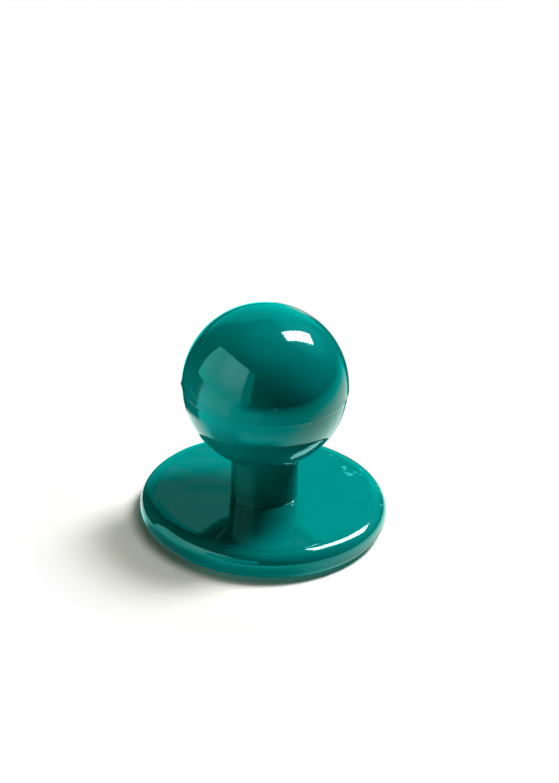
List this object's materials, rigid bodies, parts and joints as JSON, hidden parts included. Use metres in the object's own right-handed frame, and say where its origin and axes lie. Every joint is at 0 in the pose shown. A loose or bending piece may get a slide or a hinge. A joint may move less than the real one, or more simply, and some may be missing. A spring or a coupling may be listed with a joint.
{
  "type": "ball button",
  "caption": "Moulded stud button: a ball on a short neck above a flat disc, pushed through buttonholes to hold overlapping cloth together.",
  "frame": {"origin": "middle of the disc's flat underside", "axes": "+Z from the disc up through the neck and the ball; -Y towards the side seen in the picture"},
  "size_m": [0.018, 0.018, 0.017],
  "materials": {
    "button_plastic": "smooth high-gloss opaque teal plastic, coloured through"
  },
  "bodies": {
    "root": {"ball_button": "button_plastic"}
  },
  "joints": []
}
